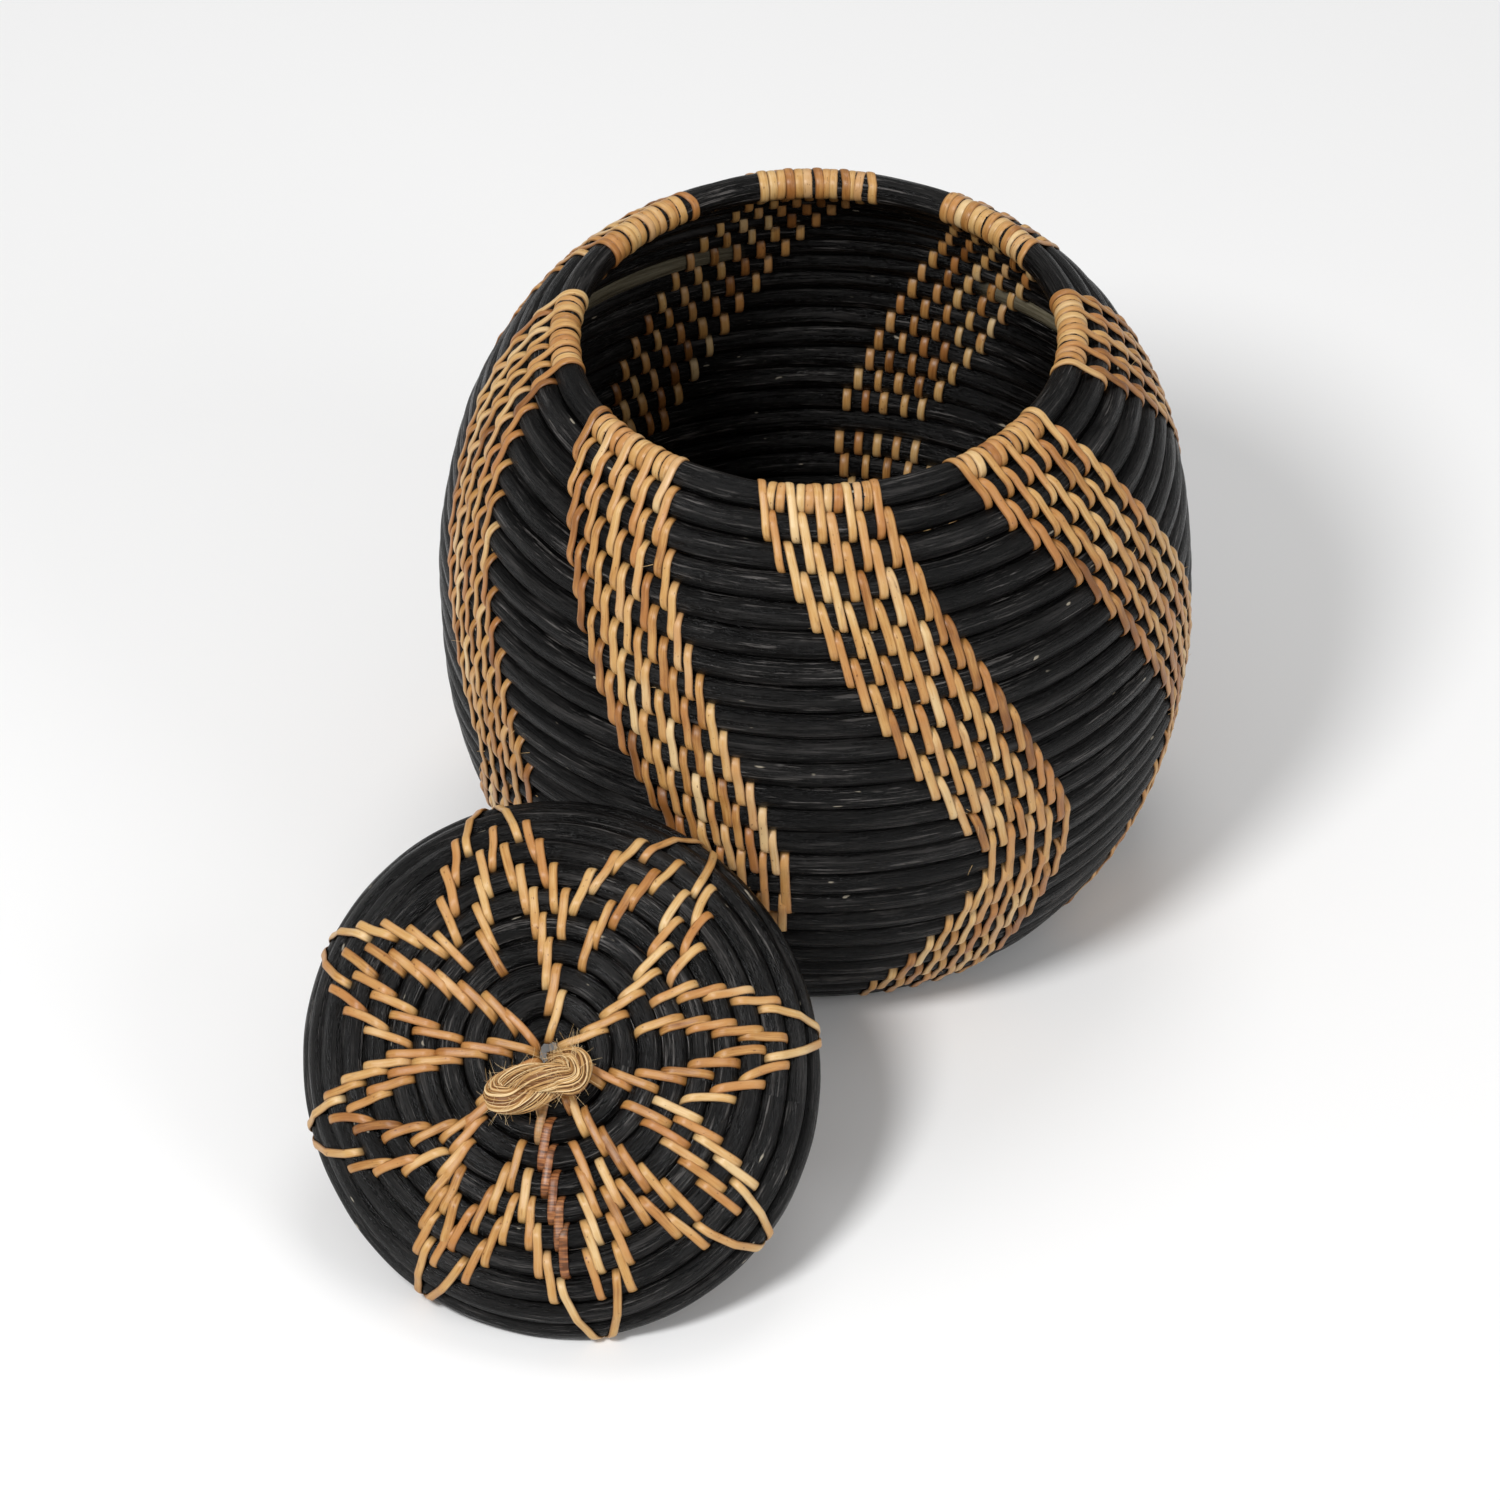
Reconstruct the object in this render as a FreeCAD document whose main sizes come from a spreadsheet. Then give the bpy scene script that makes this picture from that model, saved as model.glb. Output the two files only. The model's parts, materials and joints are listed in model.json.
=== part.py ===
import FreeCAD, Part
import math
import os

# A coiled rattan basket with a lid, in millimetres.
# +Z is up and the origin is the centre of the face that the basket stands on.
# The wall, the base and the lid are rings of black rod, laid one above another or one inside another.
# Strips of split cane are laced over two rods outside and back over one rod inside, so they hold the
# rings together. The lid leans against the belly, and a short doubled rope through its centre is its handle.

DIMENSIONS = {
    # rods of the wall and the base
    "rod_diameter": 10.2,
    "rod_pitch": 11.0,
    "foot_ring_radius": 103.7,
    "foot_flat_depth": 0.3,
    "base_lift": 1.6,
    # slope of the wall from one rod to the next below it, in degrees below the horizontal:
    # a cubic in the share of the way down the wall
    "slope_at_rim": 36.0,
    "slope_linear": 204.0,
    "slope_square": -292.0,
    "slope_cube": 183.0,
    # cane strips
    "strip_width": 3.4,
    "strip_thickness": 0.45,
    "strip_clearance": 0.2,
    "strip_side_pitch": 3.9,
    "band_pitch": 10.4,
    "band_pinch": 2.3,
    "band_drift": 5.1,
    "band_return": 4.9,
    "rim_wrap_pitch": 3.55,
    # rods of the lid
    "lid_rod_diameter": 8.9,
    "lid_rod_pitch": 9.7,
    "lid_hole_ring_radius": 9.6,
    "lid_lean": 36.5,
    "lid_facing": -104.0,
    "lid_bearing": -114.0,
    "lid_distance": 247.8,
    "lid_floor_gap": 0.4,
    # rope handle
    "rope_diameter": 16.6,
    "rope_span": 24.4,
    "rope_shift": 6.4,
    "rope_stand": 16.0,
    "rope_lean": 54.4,
    "rope_neck_diameter": 7.6,
    "rope_pivot_height": 5.0,
    "rope_bearing": -65.0,
}

WALL_ROWS = 24            # the rim rod is row 1
REVERSAL_ROW = 15         # the lacing turns back here, with one stitch over three rods
BASE_RINGS = 8
BANDS = 8
STRIPS = (-2, -1, 0, 1, 2)
RIM_WRAPS = 13            # side by side on the rim rod, in each band
LID_SLOPES = (1, 1, 2, 3, 5, 9, 16, 28, 46, 66)   # degrees, from one lid rod to the next outward
# where each petal of the lid comes to its point, in degrees round the lid from its left-to-right axis
PETAL_TIPS = (-158.0, -111.0, -69.5, -29.5, 16.8, 67.2, 117.5, 162.0)
CORNER = 45.0             # degrees between the corners of a strip bent round a rod

doc = FreeCAD.newDocument("basket")
sheet = doc.addObject("Spreadsheet::Sheet", "Dimensions")
for number, (name, value) in enumerate(DIMENSIONS.items(), start=1):
    sheet.set(f"A{number}", name)
    sheet.set(f"B{number}", str(value))
    sheet.setAlias(f"B{number}", name)
doc.recompute()

nodes = []


def size(name):
    """A driving dimension, read from the sheet."""
    return float(sheet.get(name))


def kept(obj, label):
    """Marks an object as a sub-part, under the name that its file gets."""
    obj.Label = label
    nodes.append(obj)
    return obj


def grouped(label, solids, placement=None):
    """A sub-part that is several separate solids."""
    feature = doc.addObject("Part::Feature", label)
    feature.Shape = Part.makeCompound(solids)
    if placement is not None:
        feature.Placement = placement
    return kept(feature, label)


def unit(azimuth):
    """The radial and the tangential direction at an azimuth, in radians."""
    radial = FreeCAD.Vector(math.cos(azimuth), math.sin(azimuth), 0)
    tangent = FreeCAD.Vector(-math.sin(azimuth), math.cos(azimuth), 0)
    return radial, tangent


def turned(degrees):
    """A turn about the axis of the basket or the lid."""
    return FreeCAD.Placement(FreeCAD.Vector(), FreeCAD.Rotation(FreeCAD.Vector(0, 0, 1), degrees))


# ---------------------------------------------------------------- wall and base rods

def wall_slope(row):
    """The expression for the slope between a row and the row below it."""
    share = (row - 0.5) / (WALL_ROWS - 1)
    return (
        f"(Dimensions.slope_at_rim + Dimensions.slope_linear * {share:.5f}"
        f" + Dimensions.slope_square * {share ** 2:.5f} + Dimensions.slope_cube * {share ** 3:.5f})"
    )


def ring(name):
    """A rod bent into a ring: a torus with its section bound to the rod's diameter."""
    torus = doc.addObject("Part::Torus", name)
    torus.setExpression("Radius2", "Dimensions.rod_diameter / 2")
    return torus


def make_foot():
    """The rod that the basket stands on, dressed flat underneath."""
    torus = ring("foot_ring_blank")
    torus.setExpression("Radius1", "Dimensions.foot_ring_radius")
    torus.setExpression("Placement.Base.z", "Dimensions.rod_diameter / 2 - Dimensions.foot_flat_depth")
    floor = doc.addObject("Part::Cylinder", "foot_dressing")
    floor.setExpression("Radius", "Dimensions.foot_ring_radius + Dimensions.rod_diameter")
    floor.setExpression("Height", "Dimensions.rod_diameter")
    floor.setExpression("Placement.Base.z", "-Dimensions.rod_diameter")
    cut = doc.addObject("Part::Cut", "foot_ring")
    cut.Base = torus
    cut.Tool = floor
    kept(cut, "foot_ring")
    return torus


def make_wall(foot):
    """The wall's rods from the foot up. Each is one pitch from the one below, along the wall's slope."""
    below = foot
    rows = {WALL_ROWS + 1: foot}
    for row in range(WALL_ROWS, 0, -1):
        name = "rim_rod" if row == 1 else f"wall_rod_{row:02d}"
        torus = ring(name)
        slope = wall_slope(row)
        torus.setExpression("Radius1", f"{below.Name}.Radius1 - Dimensions.rod_pitch * 1 mm * cos({slope})")
        torus.setExpression(
            "Placement.Base.z", f"{below.Name}.Placement.Base.z + Dimensions.rod_pitch * 1 mm * sin({slope})"
        )
        kept(torus, name)
        rows[row] = torus
        below = torus
    return rows


def make_base(foot):
    """The base's rings inside the foot, a little off the floor, and the tight first turn at the centre."""
    rings = []
    for step in range(1, BASE_RINGS + 1):
        torus = ring(f"base_turn_{step}")
        torus.setExpression("Radius1", f"Dimensions.foot_ring_radius - {step} * Dimensions.rod_pitch")
        torus.setExpression("Placement.Base.z", f"{foot.Name}.Placement.Base.z + Dimensions.base_lift * 1 mm")
        rings.append(torus)
    centre = ring("base_turn_centre")
    centre.setExpression("Radius1", "Dimensions.rod_diameter / 2 + 0.05")
    centre.setExpression("Placement.Base.z", f"{foot.Name}.Placement.Base.z + Dimensions.base_lift * 1 mm")
    coil = doc.addObject("Part::Compound", "base_coil")
    coil.Links = rings + [centre]
    kept(coil, "base_coil")
    return rings


# ---------------------------------------------------------------- cane stitches

def seen_from(centre, normal, along, degrees, radius):
    """The point round a rod's centre at an angle from the wall's normal towards the next rod."""
    angle = math.radians(degrees)
    return centre + normal * (radius * math.cos(angle)) + along * (radius * math.sin(angle))


def frame_between(first, second):
    """The direction from one rod's centre to the next, and the normal on the outer side."""
    along = (second - first).normalize()
    normal = FreeCAD.Vector(-along.z, 0, along.x)
    return along, normal


def bent_line(centres, offset, start, end, turn):
    """The points of a strip's one face: over the rods on the outside, then round the last one. turn is how
    far the direction to the next rod departs from the line of these rods, so that a flat side faces it."""
    bend = offset / math.cos(math.radians(CORNER / 2))
    points = []
    if len(centres) == 1:
        along, normal = centres[0][1], centres[0][2]
        first = last = centres[0][0]
        degrees = -CORNER / 2
        points.append(seen_from(first, normal, along, start, offset))
    else:
        first, last = centres[0], centres[-1]
        along, normal = frame_between(centres[0], centres[1])
        points.append(seen_from(first, normal, along, start, bend))
        points.append(seen_from(first, normal, along, -CORNER / 2, bend))
        for before, middle, after in zip(centres, centres[1:], centres[2:]):
            along_in, normal_in = frame_between(before, middle)
            along_out, normal_out = frame_between(middle, after)
            outward = (normal_in + normal_out).normalize()
            points.append(middle + outward * (offset / outward.dot(normal_in)))
        along, normal = frame_between(centres[-2], centres[-1])
        shoulder = (CORNER + turn) / 2
        points.append(seen_from(last, normal, along, shoulder, offset / math.cos(math.radians(shoulder))))
        degrees = 1.5 * CORNER + turn
    while degrees < end + 1e-6:
        points.append(seen_from(last, normal, along, degrees, bend))
        degrees += CORNER
    if len(centres) == 1:
        points.append(seen_from(last, normal, along, end, offset))
    return points


def stitch(centres, azimuth, lean, rod, start=-1.5 * CORNER, end=5.5 * CORNER, lift=0.0, turn=0.0,
           pivot=None):
    """One stitch of cane as a solid. centres are the rods' centres in the upright plane through the axis,
    azimuth is where the strip lies at its pivot, which is its middle unless one is given, and lean is how
    far it moves sideways over its length. A strip that moves far sideways is lifted, because it is straight
    and the rods under it are curved."""
    inner = rod / 2 + size("strip_clearance") + lift
    outer = inner + size("strip_thickness")
    outline = bent_line(centres, inner, start, end, turn) + bent_line(centres, outer, start, end, turn)[::-1]
    if len(centres) == 1:
        pivot, chord = centres[0][0], FreeCAD.Vector(0, 0, 0)
        span = 1.0
    else:
        pivot = pivot or (centres[0] + centres[-1]) * 0.5
        chord = (centres[-1] - centres[0]).normalize()
        span = (centres[-1] - centres[0]).Length * len(centres) / (len(centres) - 1)
    radial, tangent = unit(azimuth)
    width = size("strip_width")
    placed = []
    for point in outline:
        aside = lean * (point - pivot).dot(chord) / span - width / 2
        placed.append(radial * point.x + tangent * aside + FreeCAD.Vector(0, 0, point.z))
    face = Part.Face(Part.makePolygon(placed + placed[:1]))
    return face.extrude(tangent * width)


def rod_centre(torus):
    return FreeCAD.Vector(torus.Radius1.Value, 0, torus.Placement.Base.z)


def stitch_rows(first, last, reversal):
    """The rods that each stitch of a strip covers: two, or three where the lacing turns back."""
    spans = []
    row = first
    while row < last:
        length = 3 if row == reversal else 2
        spans.append((row, row + length - 1))
        row += length - 1
    return spans


def band_centres(radius_of):
    """The azimuth of a band's middle at each row, from its drift along the rods."""
    azimuth = {1: 0.0}
    for row in range(1, WALL_ROWS):
        if row < REVERSAL_ROW:
            drift = size("band_drift")
        elif row < REVERSAL_ROW + 2:
            drift = -0.15 * size("band_return")
        else:
            drift = -size("band_return")
        azimuth[row + 1] = azimuth[row] + drift / radius_of[row]
    return azimuth


def strip_azimuths(strip, radius_of, centre_of):
    """The azimuth of one strip of a band at the top of each row. The band is pinched where it turns back."""
    found = {}
    for row, azimuth in centre_of.items():
        pinch = size("band_pinch") * math.exp(-(((row - REVERSAL_ROW - 1) / 3.2) ** 2))
        found[row] = azimuth + strip * (size("band_pitch") - pinch) / radius_of[row]
    return found


def leans(spans, tops, radius_of):
    """How far each stitch moves sideways: each starts beside the one before it, on the rod they share."""
    side = size("strip_side_pitch")
    found = []
    for number, (first, last) in enumerate(spans):
        count = last - first + 1
        turned_back = first > REVERSAL_ROW
        sign = -1 if turned_back else 1
        following = spans[number + 1][0] if number + 1 < len(spans) else None
        if following is None or count == 3:
            found.append(found[-1] * 0.5 if following is None else 0.15 * size("rod_pitch"))
            continue
        move = (tops[following] - tops[first]) * radius_of[last]
        found.append(2 * (move - sign * side))
    return found


def make_band(rods):
    """The solids of one band of lacing on the wall, with the band's rim end at azimuth 0."""
    centres = {row: rod_centre(torus) for row, torus in rods.items()}
    radius_of = {row: centre.x for row, centre in centres.items()}
    centre_of = band_centres(radius_of)
    spans = stitch_rows(1, WALL_ROWS, REVERSAL_ROW)
    rod = size("rod_diameter")
    solids = []
    for strip in STRIPS:
        tops = strip_azimuths(strip, radius_of, centre_of)
        for (first, last), lean in zip(spans, leans(spans, tops, radius_of)):
            covered = [centres[row] for row in range(first, last + 1)]
            azimuth = tops[first] + lean / 2 / radius_of[first]
            if first == 1:
                along, normal = frame_between(covered[0], covered[1])
                azimuth = tops[1] + lean * 0.75 / radius_of[2]
                solids.append(stitch([(covered[1], along, normal)], azimuth, 0, rod, -CORNER, 5 * CORNER))
            else:
                solids.append(stitch(covered, azimuth, lean, rod))
    return solids, centre_of[WALL_ROWS]


def make_base_stitches(rings, start_azimuth):
    """One band's stitches under the base. Fewer strips reach each ring nearer to the centre, and none the
    last ring, which lies too close round the centre turn."""
    rod = size("rod_diameter")
    centres = [rod_centre(torus) for torus in rings]
    middle = start_azimuth
    solids = []
    for number in range(len(centres) - 2):
        radius = centres[number + 1].x
        room = 2 * math.pi * radius / BANDS
        count = min(len(STRIPS), int(room / (2.3 * size("strip_width"))))
        for strip in range(count):
            aside = (strip - (count - 1) / 2) * room / count
            solids.append(stitch(centres[number:number + 2], middle + aside / radius, 0.0, rod))
        middle -= size("strip_side_pitch") / radius
    return solids


def make_rim_wraps(rim):
    """Short turns of cane side by side round the rim rod, over each band."""
    inner = size("rod_diameter") / 2 + size("strip_clearance")
    outer = inner + size("strip_thickness")
    width = size("strip_width")
    solids = []
    for band in range(BANDS):
        for wrap in range(RIM_WRAPS):
            aside = (wrap - (RIM_WRAPS - 1) / 2) * size("rim_wrap_pitch")
            azimuth = 2 * math.pi * band / BANDS + math.radians(-90) + aside / rim.Radius1.Value
            radial, tangent = unit(azimuth)
            middle = radial * rim.Radius1.Value + FreeCAD.Vector(0, 0, rim.Placement.Base.z)
            start = middle - tangent * (width / 2)
            hoop = Part.makeCylinder(outer, width, start, tangent)
            solids.append(hoop.cut(Part.makeCylinder(inner, width, start, tangent)))
    return solids


# ---------------------------------------------------------------- lid

def lid_profile():
    """The centres of the lid's rods in its own frame, from the hole outward."""
    centre = FreeCAD.Vector(size("lid_hole_ring_radius"), 0, 0)
    found = [centre]
    for slope in LID_SLOPES:
        angle = math.radians(slope)
        step = FreeCAD.Vector(math.cos(angle), 0, -math.sin(angle)) * size("lid_rod_pitch")
        centre = centre + step
        found.append(centre)
    return found


def lid_placement(profile):
    """The lid's place: leaning back against the belly, with its edge just clear of the floor."""
    lean = math.radians(size("lid_lean"))
    facing, _ = unit(math.radians(size("lid_facing")))
    bearing, _ = unit(math.radians(size("lid_bearing")))
    up = FreeCAD.Vector(0, 0, 1)
    normal = facing * math.sin(lean) + up * math.cos(lean)
    uphill = up * math.sin(lean) - facing * math.cos(lean)
    edge = profile[-1]
    drop = edge.x * math.sin(lean) - edge.z * math.cos(lean) + size("lid_rod_diameter") / 2
    origin = bearing * size("lid_distance") + up * (drop + size("lid_floor_gap"))
    across = uphill.cross(normal)
    turn = FreeCAD.Rotation(across, uphill, normal, "ZXY")
    return FreeCAD.Placement(origin, turn)


def make_lid_rods(profile, place):
    """The lid's rings. Each is one pitch outward from the one before it."""
    inside = None
    for number, centre in enumerate(profile, start=1):
        name = f"lid_rod_{number:02d}"
        torus = doc.addObject("Part::Torus", name)
        torus.setExpression("Radius2", "Dimensions.lid_rod_diameter / 2")
        if inside is None:
            torus.setExpression("Radius1", "Dimensions.lid_hole_ring_radius")
        else:
            slope = LID_SLOPES[number - 2]
            torus.setExpression(
                "Radius1", f"{inside.Name}.Radius1 + Dimensions.lid_rod_pitch * 1 mm * cos({slope})"
            )
        torus.Placement = place * FreeCAD.Placement(FreeCAD.Vector(0, 0, centre.z), FreeCAD.Rotation())
        kept(torus, name)
        inside = torus


def petal_line(profile, first, last, start, end, hand):
    """Stitches over two lid rods each, at an azimuth that runs from start to end, in degrees.
    Each begins beside the one inside it, on the side that hand gives."""
    side = size("strip_side_pitch")
    step = math.radians(end - start) / max(last - first, 1)
    solids = []
    for row in range(first, last + 1):
        covered = profile[row - 1:row + 1]
        lean = 2 * (step * covered[1].x - hand * side)
        turn = LID_SLOPES[row] - LID_SLOPES[row - 1]
        # the pivot is the outer rod, but on the tightly curved inner rods it is halfway
        pivot, share = (None, 0.25) if row < 6 else (covered[1], 0.5)
        azimuth = math.radians(start) + step * (row - first) + share * lean / covered[0].x
        solids.append(stitch(covered, azimuth, lean, size("lid_rod_diameter"), turn=turn, pivot=pivot))
    return solids


def petal_stem(profile, degrees):
    """The first stitch from the lid's hole: straight, and begun on top of the innermost rod."""
    return stitch(profile[0:2], math.radians(degrees), 0.0, size("lid_rod_diameter"), start=-CORNER / 2)


def make_petal(profile, before, tip, after):
    """The solids of one petal of lacing on the lid: two lines up its middle, two along its edges from the
    roots that it shares with its neighbours, and two long stitches that meet at its point."""
    root_left = (before + tip) / 2 - 4.0
    root_right = (tip + after) / 2 - 4.0
    solids = [petal_stem(profile, tip - 19.0)]
    solids += petal_line(profile, 3, 7, tip - 14.0, tip - 6.5, 1)
    solids += petal_line(profile, 4, 8, tip + 7.0, tip + 0.8, -1)
    solids += petal_line(profile, 5, 5, root_right, root_right, 0)
    solids += petal_line(profile, 6, 8, root_left + 4.4, tip - 11.5, 1)
    solids += petal_line(profile, 6, 8, root_right - 4.4, tip + 10.0, -1)
    covered = profile[8:11]
    for start, end in ((-8.0, -1.7), (6.5, 1.7)):
        azimuth = math.radians(tip + (start + end) / 2)
        lean = 1.5 * math.radians(end - start) * covered[1].x
        solids.append(stitch(covered, azimuth, lean, size("lid_rod_diameter"), end=1.5 * CORNER, lift=0.4))
    return solids


def make_handle(place):
    """The doubled rope: a knot under the lid with a neck through its hole, and the bight above it."""
    neck_radius = size("rope_neck_diameter") / 2
    rope_radius = size("rope_diameter") / 2
    pivot = FreeCAD.Vector(0, 0, size("rope_pivot_height"))
    knot_radius = 6.5
    knot_drop = size("lid_rod_diameter") / 2 + 1.2 + knot_radius

    neck = Part.makeCylinder(neck_radius, pivot.z + knot_drop, FreeCAD.Vector(0, 0, -knot_drop))
    widen = FreeCAD.Matrix()
    widen.scale(1.5, 1.5, 1.0)
    knot = Part.makeSphere(knot_radius).transformGeometry(widen)
    knot.translate(FreeCAD.Vector(0, 0, -knot_drop))
    grouped("handle_knot", [neck.fuse([knot, Part.makeSphere(neck_radius, pivot)])], place)

    lean = math.radians(size("rope_lean"))
    upward = FreeCAD.Vector(math.sin(lean), 0, math.cos(lean))
    across = FreeCAD.Vector(0, 1, 0)
    crown = pivot + upward * size("rope_stand")
    near = crown + across * (size("rope_span") / 2 - size("rope_shift"))
    far = near - across * size("rope_span")
    bight = Part.makeCylinder(rope_radius, size("rope_span"), far, across)
    bight = bight.fuse([Part.makeSphere(rope_radius, near), Part.makeSphere(rope_radius, far)])
    gap = 0.4
    stalk = Part.makeCone(0.7 * neck_radius, neck_radius, size("rope_stand") - neck_radius - gap,
                          pivot + upward * (neck_radius + gap), upward)
    grouped("handle_rope", [bight.fuse(stalk)], place * turned(size("rope_bearing")))


# ---------------------------------------------------------------- the whole basket

foot_ring = make_foot()
wall_rods = make_wall(foot_ring)
base_rings = make_base(foot_ring)
doc.recompute()

band_solids, band_end = make_band(wall_rods)
band_solids += make_base_stitches(base_rings, band_end)
for index in range(BANDS):
    grouped(f"lacing_band_{index + 1}", band_solids, turned(-90 + 360 / BANDS * index))
grouped("rim_wrapping", make_rim_wraps(wall_rods[1]))

profile_of_lid = lid_profile()
place_of_lid = lid_placement(profile_of_lid)
make_lid_rods(profile_of_lid, place_of_lid)
for index, tip in enumerate(PETAL_TIPS):
    before = PETAL_TIPS[index - 1] - (360 if index == 0 else 0)
    after = PETAL_TIPS[(index + 1) % BANDS] + (360 if index == BANDS - 1 else 0)
    grouped(f"lid_petal_{index + 1}", make_petal(profile_of_lid, before, tip, after), place_of_lid)
make_handle(place_of_lid)
doc.recompute()

for obj in doc.Objects:
    if "Invalid" in obj.State or "Error" in obj.State:
        raise RuntimeError(f"{obj.Name} failed: {obj.State}")
for obj in nodes:
    if obj.Shape.isNull() or not obj.Shape.isValid() or not obj.Shape.Solids:
        raise RuntimeError(f"{obj.Label} has no valid shape")

os.makedirs("parts", exist_ok=True)
for obj in nodes:
    obj.Shape.exportStep(f"parts/{obj.Label}.step")
print(f"{len(nodes)} sub-parts written")
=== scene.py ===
import json
import math

import bpy
import numpy as np
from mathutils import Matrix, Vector


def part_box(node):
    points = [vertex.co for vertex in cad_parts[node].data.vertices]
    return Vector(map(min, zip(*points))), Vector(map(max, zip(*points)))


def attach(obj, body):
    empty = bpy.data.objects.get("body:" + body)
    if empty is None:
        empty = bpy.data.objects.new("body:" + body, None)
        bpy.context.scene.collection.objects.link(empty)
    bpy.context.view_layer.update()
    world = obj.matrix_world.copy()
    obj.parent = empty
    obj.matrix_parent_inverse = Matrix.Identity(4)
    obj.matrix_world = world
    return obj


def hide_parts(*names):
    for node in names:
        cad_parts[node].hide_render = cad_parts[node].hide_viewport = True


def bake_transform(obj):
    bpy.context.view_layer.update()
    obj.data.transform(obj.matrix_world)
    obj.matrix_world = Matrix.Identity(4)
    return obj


# A coiled rattan basket and its leaning lid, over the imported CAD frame.
# Black rods lie in rings. Strips of split cane are laced over two rods outside, and round the second inside.
# Everything is in metres, in the CAD frame.

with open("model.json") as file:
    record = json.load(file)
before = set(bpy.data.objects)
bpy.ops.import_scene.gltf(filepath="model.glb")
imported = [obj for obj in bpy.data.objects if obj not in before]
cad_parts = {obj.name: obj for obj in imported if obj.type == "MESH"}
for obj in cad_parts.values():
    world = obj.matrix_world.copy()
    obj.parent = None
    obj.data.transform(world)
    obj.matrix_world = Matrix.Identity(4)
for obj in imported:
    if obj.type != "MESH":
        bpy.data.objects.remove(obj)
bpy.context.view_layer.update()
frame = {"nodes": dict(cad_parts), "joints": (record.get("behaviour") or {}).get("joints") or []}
NODES = frame["nodes"]
MM = 0.001
TAU = 2 * math.pi


# ---------------------------------------------------------------- reading the frame

def vertices_of(node):
    mesh = NODES[node].data
    flat = np.empty(len(mesh.vertices) * 3)
    mesh.vertices.foreach_get("co", flat)
    return flat.reshape(-1, 3)


def unit(vector):
    return vector / np.linalg.norm(vector)


class Coil:
    """A set of rings about one axis, numbered from 1, with its own axes and a little unevenness."""

    def __init__(self, names, origin, x_axis, normal, uneven, outline=(0.0, 0.0, 0.0)):
        self.origin = np.array(origin, float)
        self.x_axis = unit(np.array(x_axis, float))
        self.normal = unit(np.array(normal, float))
        self.y_axis = np.cross(self.normal, self.x_axis)
        self.uneven = uneven
        self.outline = outline
        self.radius = {}
        self.height = {}
        self.rod = {}
        for number, name in names.items():
            relative = vertices_of(name) - self.origin
            along = relative @ self.normal
            out = np.linalg.norm(relative - np.outer(along, self.normal), axis=1)
            self.rod[number] = (out.max() - out.min()) / 2
            self.radius[number] = (out.max() + out.min()) / 2
            self.height[number] = along.max() - self.rod[number]

    def centre(self, number, azimuth):
        """The rod's centre at an azimuth as (radius, height), with its unevenness."""
        radius, height = self.radius[number], self.height[number]
        swing = self.uneven * min(1.0, radius / 0.06)
        radius = radius + swing * (
            0.60 * np.sin(2 * azimuth + 0.21 * number)
            + 0.38 * np.sin(3 * azimuth - 0.17 * number + 1.3)
            + 0.22 * np.sin(7 * azimuth + 0.9 * number + 0.4)
        )
        height = height + swing * (
            0.34 * np.sin(3 * azimuth + 0.3 * number + 2.0) + 0.24 * np.sin(5 * azimuth - 0.7 * number)
        )
        return radius, height

    def place(self, azimuth, radius, height):
        """World points from azimuths, radii and heights. The outline makes rings slightly out of round."""
        azimuth, radius, height = np.broadcast_arrays(azimuth, radius, height)
        right, oval, slant = self.outline
        stretch = (1 + right * np.cos(azimuth)
                   + oval * np.cos(2 * azimuth) + slant * np.sin(2 * azimuth))
        flat = (radius * stretch)[..., None] * (
            np.cos(azimuth)[..., None] * self.x_axis + np.sin(azimuth)[..., None] * self.y_axis
        )
        return self.origin + flat + height[..., None] * self.normal

    def turn(self, azimuth):
        """The direction along the rod at an azimuth."""
        azimuth = np.asarray(azimuth)
        return -np.sin(azimuth)[..., None] * self.x_axis + np.cos(azimuth)[..., None] * self.y_axis


# ---------------------------------------------------------------- mesh building

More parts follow.
